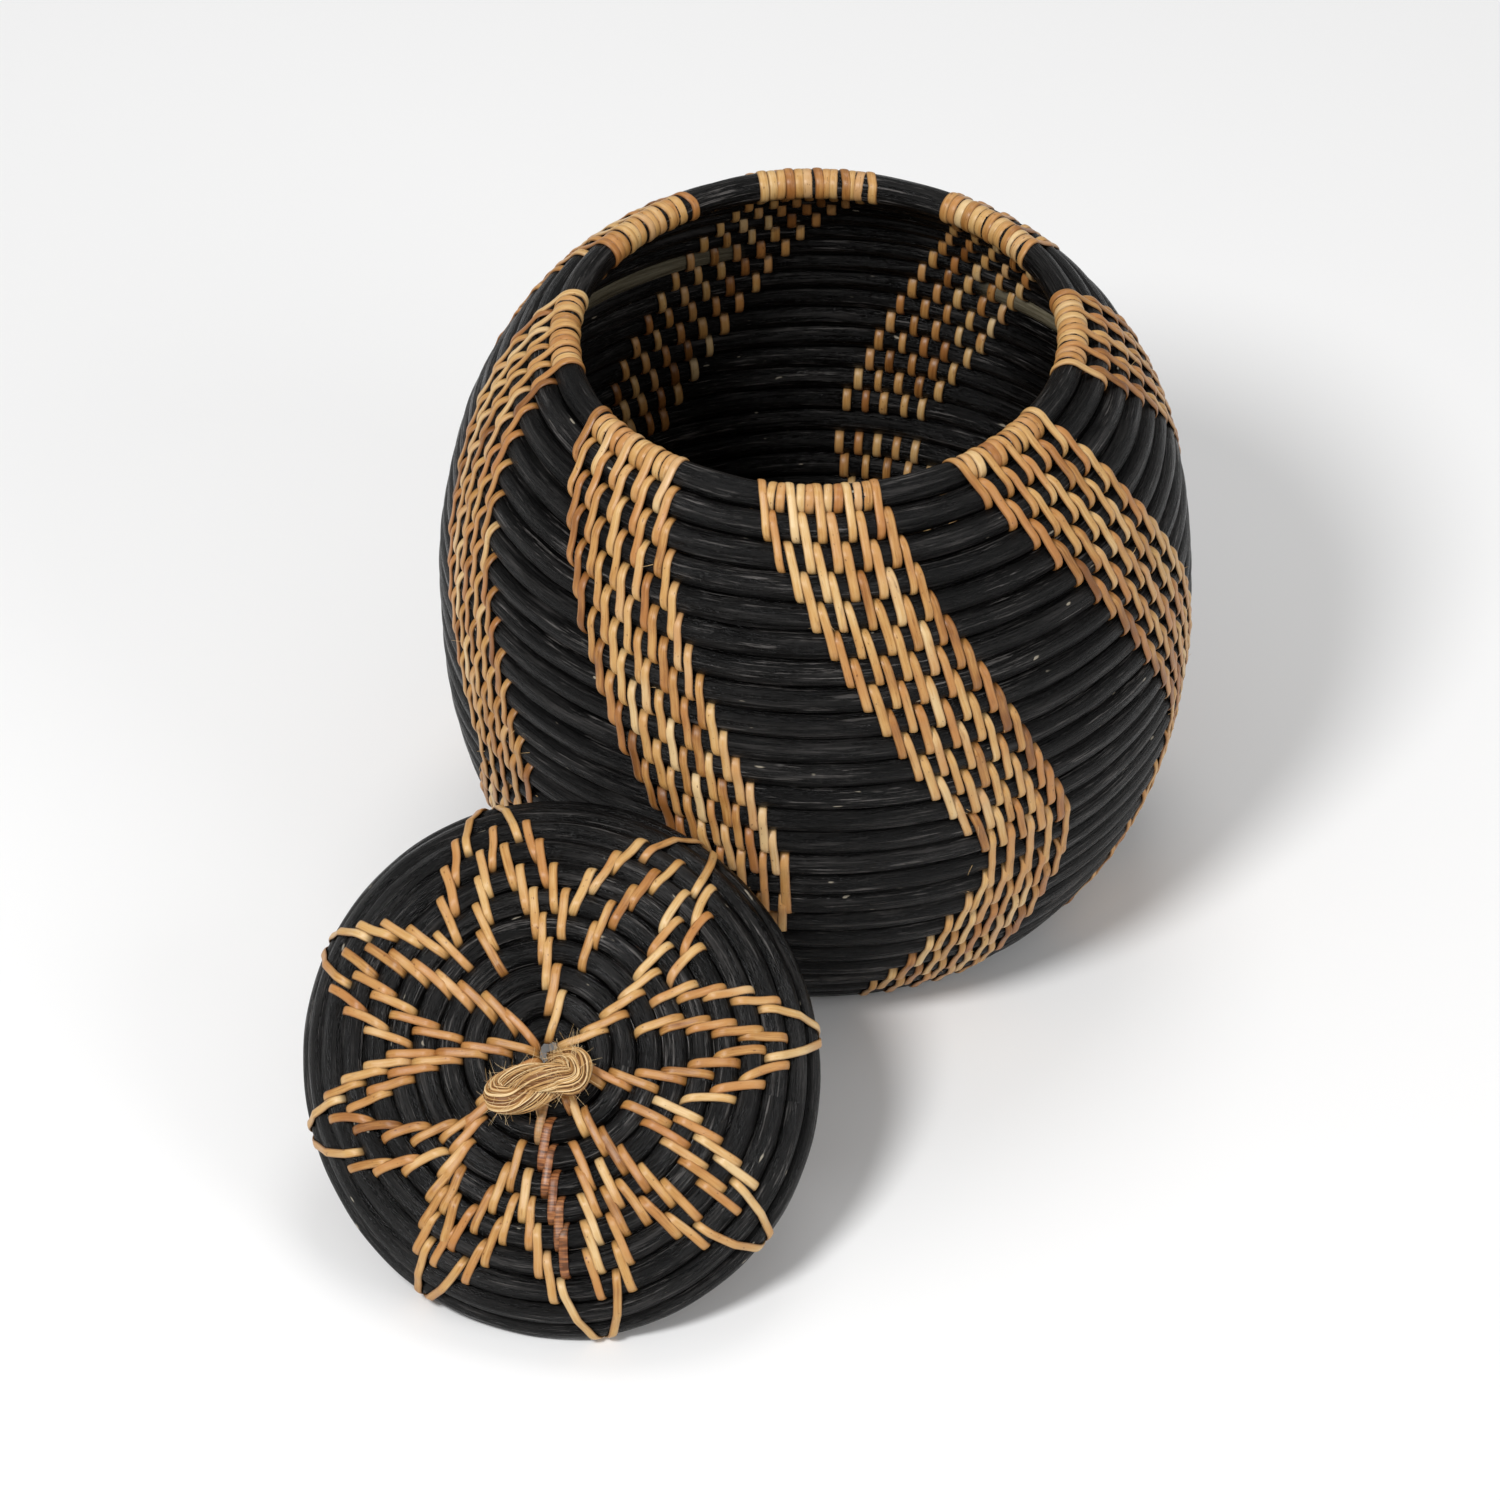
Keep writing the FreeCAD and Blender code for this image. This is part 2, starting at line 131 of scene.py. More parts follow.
class Batch:
    """Gathers tubes and strips into one mesh, with a UV in metres and named values at each vertex."""

    def __init__(self):
        self.points = []
        self.faces = []
        self.uvs = []
        self.values = {}
        self.count = 0

    def grid(self, points, uv, closed_rows, closed_columns, **values):
        """points is rows x columns x 3. A closed direction joins its last line to its first."""
        rows, columns = points.shape[:2]
        index = self.count + np.arange(rows * columns).reshape(rows, columns)
        i = np.arange(rows if closed_rows else rows - 1)
        j = np.arange(columns if closed_columns else columns - 1)
        a, b = np.meshgrid(i, j, indexing="ij")
        a2, b2 = (a + 1) % rows, (b + 1) % columns
        quads = np.stack([index[a, b], index[a2, b], index[a2, b2], index[a, b2]], axis=-1).reshape(-1, 4)
        u_high = np.where(a + 1 < rows, 1, 0)
        v_high = np.where(b + 1 < columns, 1, 0)
        u_step = uv[1, 0, 0] - uv[0, 0, 0]
        v_step = uv[0, 1, 1] - uv[0, 0, 1]
        corners = []
        for p, q, du, dv in ((a, b, 0, 0), (a2, b, 1, 0), (a2, b2, 1, 1), (a, b2, 0, 1)):
            corner = uv[p, q].copy()
            if du:
                corner[..., 0] = np.where(u_high == 1, corner[..., 0], uv[a, b][..., 0] + u_step)
            if dv:
                corner[..., 1] = np.where(v_high == 1, corner[..., 1], uv[a, b][..., 1] + v_step)
            corners.append(corner)
        self.points.append(points.reshape(-1, 3))
        self.faces.append(quads)
        self.uvs.append(np.stack(corners, axis=-2).reshape(-1, 2))
        for name, value in values.items():
            filled = np.broadcast_to(np.asarray(value, float), (rows, columns)).reshape(-1)
            self.values.setdefault(name, []).append(filled)
        self.count += rows * columns

    def build(self, name, material):
        mesh = bpy.data.meshes.new(name)
        points = np.concatenate(self.points)
        faces = np.concatenate(self.faces)
        mesh.vertices.add(len(points))
        mesh.vertices.foreach_set("co", points.reshape(-1))
        mesh.loops.add(len(faces) * 4)
        mesh.loops.foreach_set("vertex_index", faces.reshape(-1).astype(np.int32))
        mesh.polygons.add(len(faces))
        mesh.polygons.foreach_set("loop_start", (np.arange(len(faces)) * 4).astype(np.int32))
        mesh.update(calc_edges=True)
        layer = mesh.uv_layers.new(name="length")
        layer.uv.foreach_set("vector", np.concatenate(self.uvs).reshape(-1).astype(np.float32))
        for key, parts in self.values.items():
            attribute = mesh.attributes.new(key, "FLOAT", "POINT")
            attribute.data.foreach_set("value", np.concatenate(parts).astype(np.float32))
        mesh.polygons.foreach_set("use_smooth", np.ones(len(faces), bool))
        mesh.validate()
        mesh.materials.append(material)
        obj = bpy.data.objects.new(name, mesh)
        bpy.context.scene.collection.objects.link(obj)
        return obj


def finished(obj, body, slot, *nodes):
    """Hides the CAD nodes that a piece stands for and ties the piece to its body. The slot is not used."""
    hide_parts(*nodes)
    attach(obj, body)


# ---------------------------------------------------------------- materials

class Shader:
    """A node material with a Principled shader, and short helpers for building its colour and bump."""

    def __init__(self, name, roughness, specular):
        self.material = bpy.data.materials.new(name)
        self.material.use_nodes = True
        self.tree = self.material.node_tree
        self.surface = self.tree.nodes["Principled BSDF"]
        self.surface.inputs["Roughness"].default_value = roughness
        self.surface.inputs["Specular IOR Level"].default_value = specular

    def node(self, kind, **settings):
        made = self.tree.nodes.new(kind)
        for key, value in settings.items():
            setattr(made, key, value)
        return made

    def link(self, source, target):
        self.tree.links.new(source, target)

    def value(self, name):
        return self.node("ShaderNodeAttribute", attribute_name=name).outputs["Fac"]

    def feed(self, socket, source):
        if isinstance(source, (int, float)):
            socket.default_value = source
        else:
            self.link(source, socket)

    def math(self, operation, a, b=0.0):
        made = self.node("ShaderNodeMath", operation=operation)
        self.feed(made.inputs[0], a)
        self.feed(made.inputs[1], b)
        return made.outputs[0]

    def spread(self, value, low, high, to_low=0.0, to_high=1.0):
        made = self.node("ShaderNodeMapRange", clamp=True)
        self.feed(made.inputs["Value"], value)
        limits = {"From Min": low, "From Max": high, "To Min": to_low, "To Max": to_high}
        for socket, number in limits.items():
            made.inputs[socket].default_value = number
        return made.outputs["Result"]

    def lengthwise(self, along, across, offset=0.0):
        """Coordinates in metres along and across a rod or a strip, scaled separately."""
        uv = self.node("ShaderNodeUVMap", uv_map="length")
        split = self.node("ShaderNodeSeparateXYZ")
        self.link(uv.outputs["UV"], split.inputs[0])
        joined = self.node("ShaderNodeCombineXYZ")
        self.link(self.math("MULTIPLY", split.outputs["X"], along), joined.inputs["X"])
        self.link(self.math("MULTIPLY", split.outputs["Y"], across), joined.inputs["Y"])
        self.feed(joined.inputs["Z"], offset)
        return joined.outputs[0]

    def noise(self, vector, detail=3.0, roughness=0.55):
        made = self.node("ShaderNodeTexNoise")
        made.inputs["Scale"].default_value = 1.0
        made.inputs["Detail"].default_value = detail
        made.inputs["Roughness"].default_value = roughness
        self.link(vector, made.inputs["Vector"])
        return made.outputs["Fac"]

    def ramp(self, value, stops):
        made = self.node("ShaderNodeValToRGB")
        elements = made.color_ramp.elements
        while len(elements) < len(stops):
            elements.new(0.5)
        for element, (place, colour) in zip(elements, stops):
            element.position = place
            element.color = (*colour, 1.0)
        self.link(value, made.inputs["Fac"])
        return made.outputs["Color"]

    def mix(self, amount, a, b):
        made = self.node("ShaderNodeMix", data_type="RGBA")
        self.feed(made.inputs["Factor"], amount)
        for socket, colour in ((made.inputs[6], a), (made.inputs[7], b)):
            if isinstance(colour, tuple):
                socket.default_value = (*colour, 1.0)
            else:
                self.link(colour, socket)
        return made.outputs[2]

    def finish(self, colour, height, distance, strength=1.0, roughness=None):
        self.link(colour, self.surface.inputs["Base Color"])
        bump = self.node("ShaderNodeBump")
        bump.inputs["Strength"].default_value = strength
        bump.inputs["Distance"].default_value = distance
        self.link(height, bump.inputs["Height"])
        self.link(bump.outputs["Normal"], self.surface.inputs["Normal"])
        if roughness is not None:
            self.link(roughness, self.surface.inputs["Roughness"])
        return self.material


def rod_material():
    """Rattan core dyed black, under a thin satin gloss, with long grey streaks: partly grain where the dye is
    worn, partly painted highlight standing in for the rods' glossy streaks.
    """
    s = Shader("dyed_rattan", 0.34, 0.14)
    seed = s.value("seed")
    broad = s.noise(s.lengthwise(14, 150, seed), detail=2)
    grain = s.noise(s.lengthwise(34, 680, seed), detail=5, roughness=0.72)
    fine = s.noise(s.lengthwise(70, 1700, seed), detail=3, roughness=0.6)
    tone = s.math("ADD", s.math("MULTIPLY", grain, 0.66), s.math("MULTIPLY", broad, 0.34))
    black = s.ramp(tone, (
        (0.42, (0.0006, 0.0005, 0.0005)), (0.51, (0.0020, 0.0018, 0.0017)),
        (0.57, (0.0082, 0.0077, 0.0074)), (0.66, (0.035, 0.0325, 0.0315))))
    thread = s.noise(s.lengthwise(42, 950, s.math("ADD", seed, 7.0)), detail=4, roughness=0.75)
    patch = s.noise(s.lengthwise(10, 75, s.math("ADD", seed, 21.0)), detail=2)
    # grey streaks, partly dye worn along the grain and partly painted highlight in place of the glossy
    # streaks on the rods
    scuff_and_painted_highlight = s.math("MULTIPLY", s.spread(thread, 0.56, 0.65), s.spread(patch, 0.42, 0.64, 0.12, 1.0))
    worn_and_highlit = s.mix(scuff_and_painted_highlight, black, (0.112, 0.104, 0.099))
    chip = s.noise(s.lengthwise(120, 380, s.math("ADD", seed, 33.0)), detail=1)
    worn_and_highlit = s.mix(s.math("MULTIPLY", s.spread(chip, 0.77, 0.80), 0.85), worn_and_highlit, (0.36, 0.32, 0.25))
    undyed = s.mix(s.value("undyed"), worn_and_highlit, s.ramp(tone, (
        (0.35, (0.050, 0.043, 0.026)), (0.52, (0.125, 0.108, 0.070)), (0.70, (0.24, 0.215, 0.15)))))
    height = s.math("ADD", grain, s.math("MULTIPLY", fine, 0.35))
    height = s.math("ADD", height, s.math("MULTIPLY", thread, 0.6))
    rough = s.spread(grain, 0.40, 0.60, 0.15, 0.46)
    return s.finish(undyed, height, 0.0009, 1.0, rough)


def cane_material():
    """Split cane: honey to tan skin with lengthwise grain, brown specks, and darker edges, partly cut edges
    and partly painted shade where strips meet. The value bark makes a strip reddish bark, as on one line of
    the lid."""
    s = Shader("split_cane", 0.38, 0.42)
    seed = s.value("seed")
    side = s.math("ABSOLUTE", s.value("side"))
    slow = s.noise(s.lengthwise(42, 80, seed), detail=2)
    grain = s.noise(s.lengthwise(80, 1300, seed), detail=5, roughness=0.7)
    tone = s.math("ADD", s.value("tone"), s.math("MULTIPLY", s.math("SUBTRACT", slow, 0.5), 1.1))
    tone = s.math("ADD", tone, s.math("MULTIPLY", s.math("SUBTRACT", grain, 0.5), 1.1))
    skin = s.ramp(tone, (
        (0.00, (0.19, 0.070, 0.015)), (0.24, (0.345, 0.152, 0.038)), (0.46, (0.480, 0.248, 0.074)),
        (0.70, (0.570, 0.340, 0.122)), (1.00, (0.665, 0.470, 0.235))))
    redder = s.noise(s.lengthwise(20, 30, s.math("ADD", seed, 60.0)), detail=2)
    skin = s.mix(s.spread(redder, 0.47, 0.62, 0.0, 0.6), skin, (0.43, 0.172, 0.048))
    speck = s.noise(s.lengthwise(620, 900, s.math("MULTIPLY", seed, 3.1)), detail=1)
    skin = s.mix(s.math("MULTIPLY", s.spread(speck, 0.71, 0.76), 0.75), skin, (0.15, 0.055, 0.016))
    fleck = s.noise(s.lengthwise(120, 700, s.math("ADD", seed, 40.0)), detail=2)
    skin = s.mix(s.math("MULTIPLY", s.spread(fleck, 0.64, 0.74), 0.5), skin, (0.21, 0.09, 0.028))
    # edges darker: partly the cut edges' own colour, partly painted shade where strips meet the rods and each
    # other
    skin = s.mix(s.spread(side, 0.62, 0.98, 0.0, 0.72), skin, (0.15, 0.058, 0.018))
    bars = s.noise(s.lengthwise(1150, 120, seed), detail=1)
    bark = s.ramp(bars, (
        (0.38, (0.070, 0.018, 0.007)), (0.50, (0.19, 0.058, 0.018)), (0.66, (0.36, 0.14, 0.048))))
    skin = s.mix(s.value("bark"), skin, bark)
    # painted shade: strips go nearly black near their ends, where they tuck under the rods
    deep = s.mix(s.value("deep"), skin, (0.022, 0.009, 0.004))
    height = s.math("ADD", grain, s.math("MULTIPLY", slow, 0.4))
    rough = s.spread(grain, 0.3, 0.7, 0.28, 0.50)
    return s.finish(deep, height, 0.00016, 0.9, rough)


def rope_material():
    """Golden plant fibre, each strand a little different."""
    s = Shader("rope_fibre", 0.5, 0.35)
    seed = s.value("seed")
    streak = s.noise(s.lengthwise(120, 2500, seed), detail=3)
    tone = s.math("ADD", s.math("MULTIPLY", s.value("tone"), 0.8), s.math("MULTIPLY", streak, 0.3))
    straw = s.ramp(tone, (
        (0.14, (0.14, 0.050, 0.013)), (0.36, (0.39, 0.195, 0.060)), (0.58, (0.62, 0.385, 0.155)),
        (0.84, (0.85, 0.65, 0.37))))
    return s.finish(straw, streak, 0.00018, 0.9)


DYED = rod_material()
CANE = cane_material()
FIBRE = rope_material()


# ---------------------------------------------------------------- the coils of rod

def lid_axes():
    """The handle's pivot on the lid's axis, the lid's left-to-right axis and its outward normal."""
    joints = {joint["name"]: joint for joint in frame["joints"]}
    normal = unit(np.array(joints["lid_lift"]["axis"]))
    up = np.array([0.0, 0.0, 1.0])
    uphill = unit(up - normal * (up @ normal))
    across = np.cross(uphill, normal)
    pivot = np.array(joints["handle_flop"]["pos_m"])
    return pivot, across, normal


WALL_ROWS = 24
LID_ROWS = 11
REVERSAL = 15
wall_names = {1: "rim_rod", WALL_ROWS + 1: "foot_ring"}
for row in range(2, WALL_ROWS + 1):
    wall_names[row] = f"wall_rod_{row:02d}"
wall = Coil(wall_names, (0, 0, 0), (1, 0, 0), (0, 0, 1), 0.7 * MM)

PIVOT, LID_X, LID_N = lid_axes()
PIVOT_HEIGHT = 5.0 * MM
lid_names = {row: f"lid_rod_{row:02d}" for row in range(1, LID_ROWS + 1)}
LID_OUTLINE = (-0.007, -0.010, -0.030)
lid = Coil(lid_names, PIVOT - LID_N * PIVOT_HEIGHT, LID_X, LID_N, 0.5 * MM, LID_OUTLINE)


ROD_SIDES = 26
# how thick rods are drawn, as a share of the CAD rods
WALL_FATTER = 1.088
LID_FATTER = 1.088
BASE_FATTER = 1.03
# where the dye is missing on the wall's inner side, by row: the azimuths between which it is
BARE_STRETCHES = {7: (math.radians(106), math.radians(136)), 8: (math.radians(39), math.radians(57))}


def between(value, low, high, soft=math.radians(3)):
    """1 between low and high, falling to 0 over soft outside them."""
    return np.clip((value - low) / soft + 1, 0, 1) * np.clip((high - value) / soft + 1, 0, 1)


def rod_rows(batch, coil, number, seed, fatter, undyed=None):
    """One ring of rod with soft lengthwise ridges and slow swelling. It is flat where it meets the floor."""
    radius = coil.radius[number]
    count = max(72, int(TAU * radius / (2.2 * MM)))
    azimuth = np.linspace(0, TAU, count, endpoint=False)[:, None]
    section = np.linspace(0, TAU, ROD_SIDES, endpoint=False)[None, :]
    centre_r, centre_h = coil.centre(number, azimuth)
    swell = 0.016 * np.sin(9 * azimuth + seed) + 0.012 * np.sin(23 * azimuth + 2.3 * seed)
    ridge = (0.012 * np.sin(5 * section + 3 * azimuth + seed)
             + 0.012 * np.sin(8 * section - 5 * azimuth + 2 * seed)
             + 0.008 * np.sin(11 * section + 11 * azimuth + 3 * seed))
    rod = coil.rod[number] * (fatter + swell + ridge)
    out = centre_r + rod * np.cos(section)
    height = centre_h + rod * np.sin(section)
    points = coil.place(azimuth, out, height)
    points[..., 2] = np.maximum(points[..., 2], 0.0)
    uv = np.stack(np.broadcast_arrays(azimuth * radius, section * coil.rod[number]), axis=-1)
    bare = 0.0 if undyed is None else between(azimuth, *undyed) * (np.cos(section) < 0.2)
    batch.grid(points, uv, True, True, seed=seed * 3.7, undyed=bare)


for row, name in wall_names.items():
    batch = Batch()
    rod_rows(batch, wall, row, float(row), WALL_FATTER, BARE_STRETCHES.get(row))
    finished(batch.build(f"rod_{name}", DYED), "basket", "dyed_rattan", name)

for row, name in lid_names.items():
    batch = Batch()
    rod_rows(batch, lid, row, 40.0 + row, LID_FATTER)
    finished(batch.build(f"rod_{name}", DYED), "lid", "dyed_rattan", name)


# ---------------------------------------------------------------- cane stitches

CANE_WIDTH = 3.55 * MM
CANE_THICK = 0.80 * MM
ROD_GAP = 0.08 * MM
SIDE_PITCH = 3.2 * MM       # between neighbouring stitches on the rod that they share
CROWN_SHARE = 0.34          # of a strip's move is made where it crosses the first rod's crown
SHOWN_SHARE = 0.46          # of it is made from there to the next rod's crown

# the radius that cane is laid round, as a share of the CAD rod's. The drawn rod's is a little larger
CANE_ON_WALL = 1.07
CANE_ON_LID = 1.06

# degrees round a rod: where a stitch starts, ends and goes out of sight
STITCH_START = -84
WALL_STITCH_END = 252
LID_STITCH_END = 245
HIDDEN_FROM = 95

# the strip's section: places across it and heights, as shares of its half width and its thickness
SECTION = np.array((
    (-1.00, 0.05), (-0.96, 0.42), (-0.80, 0.72), (-0.45, 0.93), (0.0, 1.0), (0.45, 0.93),
    (0.80, 0.72), (0.96, 0.42), (1.00, 0.05), (0.90, -0.04), (0.0, -0.08), (-0.90, -0.04)))


def rod_path(centres, rods, start, end, lift):
    """Points and outward normals, in (radius, height), of a strip laid over rods and round the last one.
    start and end are angles, in degrees, from the coil's outer face towards the next rod."""
    centres = [np.array(c) for c in centres]
    spans = [unit(b - a) for a, b in zip(centres, centres[1:])]
    outward = [np.array((-s[1], s[0])) for s in spans]
    points, normals = [], []

    def lay(centre, rod, along, out, degrees):
        for angle in np.radians(degrees):
            direction = out * math.cos(angle) + along * math.sin(angle)
            points.append(centre + direction * (rod + lift))
            normals.append(direction)

    lay(centres[0], rods[0], spans[0], outward[0], np.linspace(start, 0, max(3, int(-start / 12) + 1)))
    for index, span in enumerate(spans):
        here, there = centres[index], centres[index + 1]
        for share in (0.25, 0.5, 0.75):
            sag = 0.35 * MM * math.sin(math.pi * share)
            rod = rods[index] + lift - sag
            points.append(here + (there - here) * share + outward[index] * rod)
            normals.append(outward[index])
        if index + 1 < len(spans):
            middle = unit(outward[index] + outward[index + 1])
            points.append(there + middle * (rods[index + 1] + lift))
            normals.append(middle)
    lay(centres[-1], rods[-1], spans[-1], outward[-1], np.linspace(0, end, max(3, int(end / 12) + 1)))
    return np.array(points), np.array(normals)


def single_path(centre, rod, along, start, end, lift):
    """The same round one rod only."""
    out = np.array((-along[1], along[0]))
    angles = np.radians(np.linspace(start, end, max(3, int((end - start) / 12) + 1)))
    normals = out * np.cos(angles)[:, None] + along * np.sin(angles)[:, None]
    return np.array(centre) + normals * (rod + lift), normals


def strip_rows(batch, coil, azimuth, path, normals, sideways, width, tone, seed, bark=0.0, begin=0.0):
    """Skins one strip: its section is carried along the path, which moves sideways in metres."""
    steps = np.linalg.norm(np.diff(path, axis=0), axis=1)
    length = np.concatenate([[0], np.cumsum(steps)])
    place = azimuth + sideways / path[:, 0]
    centre = coil.place(place, path[:, 0], path[:, 1])
    ahead = np.gradient(centre, axis=0)
    ahead /= np.linalg.norm(ahead, axis=1)[:, None]
    flat = coil.place(place, path[:, 0] + normals[:, 0] * MM, path[:, 1] + normals[:, 1] * MM) - centre
    out = flat / np.linalg.norm(flat, axis=1)[:, None]
    side = np.cross(ahead, out)
    side /= np.linalg.norm(side, axis=1)[:, None]
    if side[len(side) // 2] @ coil.turn(place[len(place) // 2]) < 0:
        side = -side
    half = np.broadcast_to(np.asarray(width), length.shape)[:, None] / 2
    across = half * SECTION[None, :, 0]
    rise = CANE_THICK * SECTION[None, :, 1] * np.ones_like(half)
    points = centre[:, None, :] + side[:, None, :] * across[..., None] + out[:, None, :] * rise[..., None]
    points[..., 2] = np.maximum(points[..., 2], 0.0)
    uv = np.stack(np.broadcast_arrays(length[:, None] + begin, across + 0.01), axis=-1)
    # painted shade: strips darken within 2.2 mm of each end, where they go under a rod
    ends = np.minimum(length, length[-1] - length)
    deep = np.clip(1 - ends / (2.2 * MM), 0, 1)[:, None] * 0.75
    batch.grid(points, uv, False, True,
               tone=tone, seed=seed, bark=bark, deep=deep, side=SECTION[None, :, 0])


def sideways_run(path, lead, tail, move, settle):
    """How far a strip lies to the side along its path. It moves over the part that shows, between the lengths
    lead and tail, quickly at first. It is at 0 where it crosses the first rod's crown."""
    steps = np.linalg.norm(np.diff(path, axis=0), axis=1)
    length = np.concatenate([[0], np.cumsum(steps)])
    share = np.clip((length - lead) / (length[-1] - lead - tail), 0, 1)
    return move * (1 - (1 - share) ** settle - CROWN_SHARE)


# ---------------------------------------------------------------- lacing of the wall

BANDS = 8
STRIPS = 5
RIM_WRAPS = 13
FIRST_BAND = math.radians(-90)
BAND_PITCH = 10.4 * MM
RIM_START = -240            # degrees: the first stitch comes from inside, over the rim
DRIFT_BACK = -4.9 * MM      # of a band from row to row, below its turn
rng = np.random.default_rng(536)


def band_middle(first_azimuth):
    """The azimuth of a band's middle at each row. It drifts one way down to the turn, then back."""
    found = {1: first_azimuth}
    for row in range(1, WALL_ROWS):
        if row < REVERSAL:
            drift = (4.1 + min(row, 5) * 0.29) * MM
        elif row < REVERSAL + 2:
            drift = -0.75 * MM
        else:
            drift = DRIFT_BACK
        found[row + 1] = found[row] + drift / wall.radius[row]
    return found


def strip_tops(middle, strip):
    """The azimuth at which one strip's stitch starts on each row. The band is pinched at its turn."""
    found = {}
    for row, azimuth in middle.items():
        pinch = 2.3 * MM * math.exp(-(((row - REVERSAL - 1) / 3.2) ** 2))
        found[row] = azimuth + (strip - (STRIPS - 1) / 2) * (BAND_PITCH - pinch) / wall.radius[row]
    return found


def stitch_spans():
    spans = []
    row = 1
    while row < WALL_ROWS:
        last = row + (2 if row == REVERSAL else 1)
        spans.append((row, last))
        row = last
    return spans


def wall_strip(batch, tops, tone, seed):
    """Every stitch of one strip from the rim to the foot."""
    spans = stitch_spans()
    run = rng.uniform(0, 3)
    for index, (first, last) in enumerate(spans):
        hand = -1 if first > REVERSAL else 1
        if index + 1 < len(spans):
            going = (tops[spans[index + 1][0]] - tops[first]) * wall.radius[last]
        else:
            going = DRIFT_BACK
        move = (going - hand * SIDE_PITCH) / SHOWN_SHARE + rng.normal(0, 0.35) * MM
        if last - first == 2:
            move = 1.2 * MM
        azimuth = tops[first] + rng.normal(0, 0.25) * MM / wall.radius[first]
        centres = [wall.centre(row, azimuth) for row in range(first, last + 1)]
        rods = [wall.rod[row] * CANE_ON_WALL for row in range(first, last + 1)]
        start = RIM_START if first == 1 else STITCH_START
        lift = (ROD_GAP, ROD_GAP + 0.25 * MM)[index % 2]
        path, normals = rod_path(centres, rods, start, WALL_STITCH_END, lift)
        lead = math.radians(STITCH_START - start) * rods[0]
        tail = math.radians(WALL_STITCH_END - HIDDEN_FROM) * rods[-1]
        sideways = sideways_run(path, lead, tail, move, rng.uniform(1.05, 1.5))
        width = CANE_WIDTH * rng.uniform(0.88, 1.10)
        strip_rows(batch, wall, azimuth, path, normals, sideways, width,
                   tone + rng.normal(0, 0.17), seed + index * 7.7, begin=run)
        run += 0.06


for band in range(BANDS):
    batch = Batch()
    middle = band_middle(FIRST_BAND + TAU * band / BANDS)
    for strip in range(STRIPS):
        tone = np.clip(rng.normal(0.50, 0.15), 0.15, 0.85)
        wall_strip(batch, strip_tops(middle, strip), tone, rng.uniform(0, 90))
    finished(batch.build(f"cane_band_{band + 1}", CANE), "basket", "split_cane", f"lacing_band_{band + 1}")


# ---------------------------------------------------------------- rim wraps

WRAP_PITCH = 3.52 * MM
WRAP_WIDTH = 3.8 * MM
WRAP_START, WRAP_END = -250, 100    # degrees round the rim rod


def rim_wraps():
    """Turns of cane round the rim, between the strips that come over it."""
    batch = Batch()
    for band in range(BANDS):
        for wrap in range(RIM_WRAPS):
            if wrap % 3 == 0:
                continue            # a strip of the band comes over the rim here
            aside = (wrap - RIM_WRAPS // 2) * WRAP_PITCH
            azimuth = FIRST_BAND + TAU * band / BANDS + aside / wall.radius[1]
            centre = wall.centre(1, azimuth)
            below = wall.centre(2, azimuth)
            along = unit(np.array(below) - np.array(centre))
            path, normals = single_path(centre, wall.rod[1], along, WRAP_START, WRAP_END, ROD_GAP)
            slant = rng.normal(0, 0.45) * MM
            sideways = np.linspace(-slant, slant, len(path)) + rng.normal(0, 0.15) * MM
            width = WRAP_WIDTH * rng.uniform(0.90, 1.05)
            strip_rows(batch, wall, azimuth, path, normals, sideways, width,
                       rng.normal(0.66, 0.17), rng.uniform(0, 90), begin=rng.uniform(0, 2))
    return batch


finished(rim_wraps().build("cane_rim_wraps", CANE), "basket", "split_cane", "rim_wrapping")


# ---------------------------------------------------------------- lacing of the lid

# Each petal of the lid, in degrees round it, where these stitches start: its stem on the first rod, the last
# of its left line on the seventh, the first and last of its right line on the fourth and the eighth, the
# root of its left edge on the fifth, its long stitches on the ninth, left and right. Then its tip.
PETALS = (
    (-176, -156.5, -129, -151, -170, -159, -143.5, -156.0),
    (-138, -111.5, -95, -108, -121.3, -112.5, -102, -111.0),
    (-81, -73.5, -62.5, -68, -88, -76.5, -62, -69.7),
    (-53, -37.5, -23, -29.7, -54, -38.5, -24, -29.8),
    (-15, 9.5, 23.5, 15, -13.5, 9.5, 23, 17.0),
    (36, 60, 81, 69.5, 36, 60, 77, 67.6),
    (97, 113.5, 132, 118, 96, 110.5, 124, 117.2),
    (154, 160.5, 180, 165, 144, 157.5, 170.5, 162.3),
)
FIRST_EDGE_ROW = 5
LONG_ROWS = (9, 10, 11)
LONG_END = 118              # degrees round the last rod: where long stitches end, and where they meet
LONG_MEET = 66
BARK_PETAL = 2


def lid_stitch(batch, rows, azimuth, move, tone, seed, bark, settle):
    centres = [lid.centre(row, azimuth) for row in rows]
    rods = [lid.rod[row] * CANE_ON_LID for row in rows]
    lift = ROD_GAP + 0.2 * MM * (rows[0] % 2)
    path, normals = rod_path(centres, rods, STITCH_START, LID_STITCH_END, lift)
    tail = math.radians(LID_STITCH_END - HIDDEN_FROM) * rods[-1]
    sideways = sideways_run(path, 0.0, tail, move, settle)
    strip_rows(batch, lid, azimuth, path, normals, sideways, CANE_WIDTH * rng.uniform(0.92, 1.08),
               tone, seed, bark=bark, begin=rng.uniform(0, 3))


def petal_line(batch, first, last, start, end, hand, tone, bark=0.0):
    """A line of stitches over two lid rods each. Each begins beside the one inside it."""
    step = math.radians(end - start) / max(last - first, 1)
    seed = rng.uniform(0, 90)
    for row in range(first, last + 1):
        azimuth = math.radians(start) + step * (row - first) + rng.normal(0, 0.3) * MM / lid.radius[row]
        going = step * lid.radius[row + 1] - hand * SIDE_PITCH * 0.9
        move = going / SHOWN_SHARE * 0.85 + rng.normal(0, 0.35) * MM
        lid_stitch(batch, (row, row + 1), azimuth, move, tone + rng.normal(0, 0.10), seed + row,
                   bark=bark, settle=rng.uniform(1.4, 2.4))


